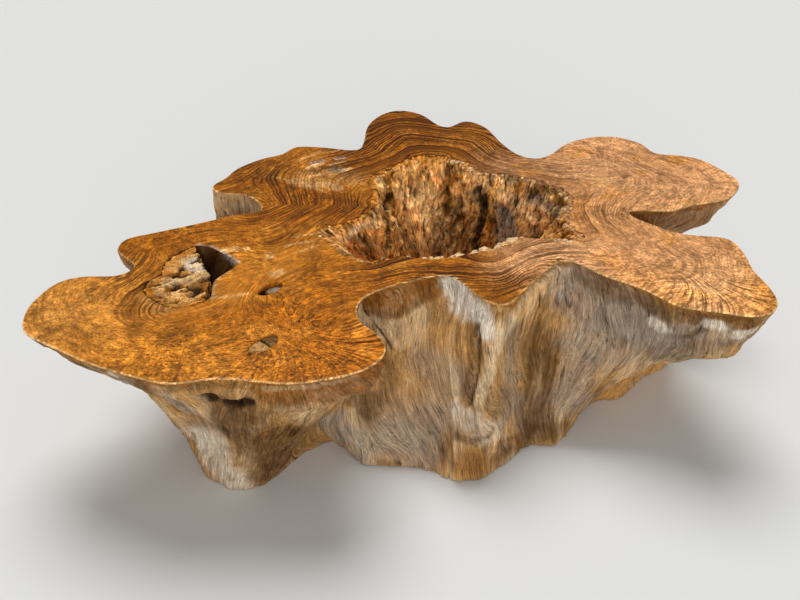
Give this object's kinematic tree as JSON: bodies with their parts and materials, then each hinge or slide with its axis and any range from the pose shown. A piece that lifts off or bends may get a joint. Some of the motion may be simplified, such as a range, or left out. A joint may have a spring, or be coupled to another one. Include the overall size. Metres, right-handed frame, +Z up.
{
  "type": "teak root coffee table",
  "caption": "Low coffee table cut from one hollow teak root, with a flat polished lobed top, an open heart hollow, weathered flanks that flow into broad feet, and felt floor pads.",
  "frame": {"origin": "on the floor, below the middle of the bounding box", "axes": "+X along the length of the top, from the long left lobe to the right lobes; +Y from the front bay with its folded flank to the back lobe; +Z up"},
  "size_m": [1.83, 1.29, 0.42],
  "materials": {
    "teak": "satin polished top, raw weathered flanks",
    "dead_wood": "dry raw wood and bark",
    "felt": "dense dark felt",
    "screw_steel": "zinc-plated steel"
  },
  "bodies": {
    "root": {"root_body": "teak", "burl_knot": "dead_wood", "front_knot": "dead_wood", "side_knot": "dead_wood", "pad_left_foot": "felt", "pad_front": "felt", "pad_front_right": "felt", "pad_right_foot": "felt", "pad_back_right": "felt", "pad_back": "felt", "pad_back_left": "felt", "pad_screws": "screw_steel"}
  },
  "joints": []
}
